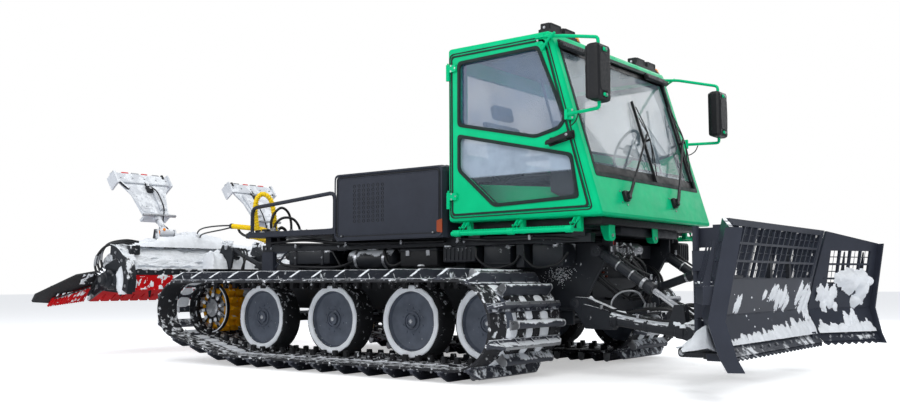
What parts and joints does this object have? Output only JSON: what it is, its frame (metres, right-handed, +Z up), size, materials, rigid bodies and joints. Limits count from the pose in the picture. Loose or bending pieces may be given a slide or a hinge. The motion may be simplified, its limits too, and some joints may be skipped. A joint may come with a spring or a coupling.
{
  "type": "tracked snow groomer",
  "caption": "Tracked snow groomer: two-seat cab and engine cover over wide tracks, front blade with folding wings, rear tiller with comb and track setters.",
  "frame": {"origin": "on the ground, midway between the blade's foremost point and the track setters' hindmost one, on the machine's centre line", "axes": "+X forward, +Y to the machine's left, +Z up"},
  "size_m": [7.7827, 4.378, 2.9023],
  "materials": {
    "green": "gloss green paint, road film and snow dust low down",
    "dark_steel": "black satin paint, scuffed",
    "slate": "dark blue-grey paint, scratched",
    "rubber": "black rubber belt with steel grousers, snowy",
    "tyre": "black tyre on a dark steel rim, snow packed round the sidewall",
    "yellow": "yellow paint",
    "red": "matt red moulded comb",
    "white": "matt white moulding",
    "glass": "clear, slightly tinted",
    "grey_cloth": "dark grey cloth",
    "black_plastic": "matt black",
    "chrome": "ground and plated rod",
    "engine": "plain dark block"
  },
  "bodies": {
    "chassis": {"main_frame": "dark_steel", "upper_frame": "dark_steel", "engine_block": "engine", "engine_cover": "slate", "deck": "dark_steel", "cab_shell": "green", "windshield": "glass", "rear_window": "glass", "dashboard": "black_plastic", "seat_right": "grey_cloth", "mirror_right": "black_plastic", "lamp_bar_right": "black_plastic", "step_right": "green", "wheel_1_right": "tyre", "wheel_2_right": "tyre", "wheel_3_right": "tyre", "wheel_4_right": "tyre", "sprocket_right": "yellow", "track_right": "rubber", "seat_left": "grey_cloth", "mirror_left": "black_plastic", "lamp_bar_left": "black_plastic", "step_left": "green", "wheel_1_left": "tyre", "wheel_2_left": "tyre", "wheel_3_left": "tyre", "wheel_4_left": "tyre", "sprocket_left": "yellow", "track_left": "rubber"},
    "push_frame": {"push_frame": "dark_steel"},
    "carrier": {"blade_carrier": "dark_steel"},
    "pitch_barrel": {"pitch_barrel": "dark_steel"},
    "pitch_rod": {"pitch_rod": "chrome"},
    "blade": {"blade": "slate"},
    "rear_lift": {"rear_frame": "dark_steel", "tiller_housing": "dark_steel", "tiller_comb": "red"},
    "rear_barrel": {"rear_barrel": "dark_steel"},
    "rear_rod": {"rear_rod": "chrome"},
    "rotor": {"tiller_rotor": "dark_steel"},
    "door_right": {"door_right": "green", "upper_glass_right": "glass", "lower_glass_right": "glass"},
    "lift_barrel_right": {"lift_barrel_right": "dark_steel"},
    "lift_rod_right": {"lift_rod_right": "chrome"},
    "wing_right": {"blade_wing_right": "slate"},
    "tiller_wing_right": {"tiller_wing_right": "dark_steel"},
    "setter_right": {"track_setter_right": "white"},
    "door_left": {"door_left": "green", "upper_glass_left": "glass", "lower_glass_left": "glass"},
    "lift_barrel_left": {"lift_barrel_left": "dark_steel"},
    "lift_rod_left": {"lift_rod_left": "chrome"},
    "wing_left": {"blade_wing_left": "slate"},
    "tiller_wing_left": {"tiller_wing_left": "dark_steel"},
    "setter_left": {"track_setter_left": "white"}
  },
  "joints": [
    {"name": "door_right_hinge", "type": "hinge", "parent": "chassis", "child": "door_right", "pos_m": [1.062, -1.096, 2.03], "axis": [0, 0, -1], "range_deg": [0, 75]},
    {"name": "door_left_hinge", "type": "hinge", "parent": "chassis", "child": "door_left", "pos_m": [1.062, 1.096, 2.03], "axis": [0, 0, 1], "range_deg": [0, 75]},
    {"name": "blade_lift", "type": "hinge", "parent": "chassis", "child": "push_frame", "pos_m": [2.037, 0, 0.598], "axis": [0, -1, 0], "range_deg": [-5, 22]},
    {"name": "lift_barrel_right_turn", "type": "hinge", "parent": "chassis", "child": "lift_barrel_right", "pos_m": [2.251, -0.62, 1.03], "axis": [0, -1, 0], "range_deg": [-5.18, 22.78]},
    {"name": "lift_rod_right_slide", "type": "slide", "parent": "lift_barrel_right", "child": "lift_rod_right", "axis": [0.8335, 0, -0.5525], "range_m": [-0.1879, 0.0428]},
    {"name": "lift_barrel_left_turn", "type": "hinge", "parent": "chassis", "child": "lift_barrel_left", "pos_m": [2.251, 0.62, 1.03], "axis": [0, -1, 0], "range_deg": [-5.18, 22.78]},
    {"name": "lift_rod_left_slide", "type": "slide", "parent": "lift_barrel_left", "child": "lift_rod_left", "axis": [0.8335, 0, -0.5525], "range_m": [-0.1879, 0.0428]},
    {"name": "blade_pitch", "type": "hinge", "parent": "push_frame", "child": "carrier", "pos_m": [3.02, 0, 0.38], "axis": [0, -1, 0], "range_deg": [-4, 12]},
    {"name": "pitch_barrel_turn", "type": "hinge", "parent": "push_frame", "child": "pitch_barrel", "pos_m": [2.46, 0, 0.715], "axis": [0, -1, 0], "range_deg": [-0.72, 2.16]},
    {"name": "pitch_rod_slide", "type": "slide", "parent": "pitch_barrel", "child": "pitch_rod", "axis": [0.9468, 0, 0.3217], "range_m": [-0.1076, 0.0359]},
    {"name": "blade_angle", "type": "hinge", "parent": "carrier", "child": "blade", "pos_m": [3.235, 0, 0.56], "axis": [0, 0, 1], "range_deg": [-20, 20]},
    {"name": "blade_wing_right_hinge", "type": "hinge", "parent": "blade", "child": "wing_right", "pos_m": [3.317, -1.147, 0.76], "axis": [0, 0, 1], "range_deg": [-45, 15]},
    {"name": "blade_wing_left_hinge", "type": "hinge", "parent": "blade", "child": "wing_left", "pos_m": [3.317, 1.147, 0.76], "axis": [0, 0, -1], "range_deg": [-45, 15]},
    {"name": "tiller_lift", "type": "hinge", "parent": "chassis", "child": "rear_lift", "pos_m": [-2.14, 0, 0.62], "axis": [0, 1, 0], "range_deg": [-18, 10]},
    {"name": "rear_barrel_turn", "type": "hinge", "parent": "chassis", "child": "rear_barrel", "pos_m": [-1.6, 0, 1.16], "axis": [0, 1, 0], "range_deg": [-5.69, 3.16]},
    {"name": "rear_rod_slide", "type": "slide", "parent": "rear_barrel", "child": "rear_rod", "axis": [-0.9888, 0, -0.1495], "range_m": [-0.0776, 0.1395]},
    {"name": "rotor_spin", "type": "hinge", "parent": "rear_lift", "child": "rotor", "pos_m": [-3.33, 0, 0.82], "axis": [0, 1, 0], "continuous": true},
    {"name": "tiller_wing_right_hinge", "type": "hinge", "parent": "rear_lift", "child": "tiller_wing_right", "pos_m": [-3.84, -1.472, 0.62], "axis": [-0.6594, 0, -0.7518], "range_deg": [0, 60]},
    {"name": "tiller_wing_left_hinge", "type": "hinge", "parent": "rear_lift", "child": "tiller_wing_left", "pos_m": [-3.84, 1.472, 0.62], "axis": [0.6594, 0, 0.7518], "range_deg": [0, 60]},
    {"name": "track_setter_right_fold", "type": "hinge", "parent": "rear_lift", "child": "setter_right", "pos_m": [-3.275, -0.84, 1.36], "axis": [0, -1, 0], "range_deg": [0, 70]},
    {"name": "track_setter_left_fold", "type": "hinge", "parent": "rear_lift", "child": "setter_left", "pos_m": [-3.275, 0.84, 1.36], "axis": [0, -1, 0], "range_deg": [0, 70]}
  ],
  "couplings": [
    {"joint": "lift_barrel_right_turn", "follows": "blade_lift", "ratio": 1.0151},
    {"joint": "lift_rod_right_slide", "follows": "blade_lift", "m_per_rad": -0.47958},
    {"joint": "lift_barrel_left_turn", "follows": "blade_lift", "ratio": 1.0151},
    {"joint": "lift_rod_left_slide", "follows": "blade_lift", "m_per_rad": -0.47958},
    {"joint": "pitch_barrel_turn", "follows": "blade_pitch", "ratio": 0.17664},
    {"joint": "pitch_rod_slide", "follows": "blade_pitch", "m_per_rad": -0.50339},
    {"joint": "rear_barrel_turn", "follows": "tiller_lift", "ratio": 0.30964},
    {"joint": "rear_rod_slide", "follows": "tiller_lift", "m_per_rad": -0.43511}
  ]
}
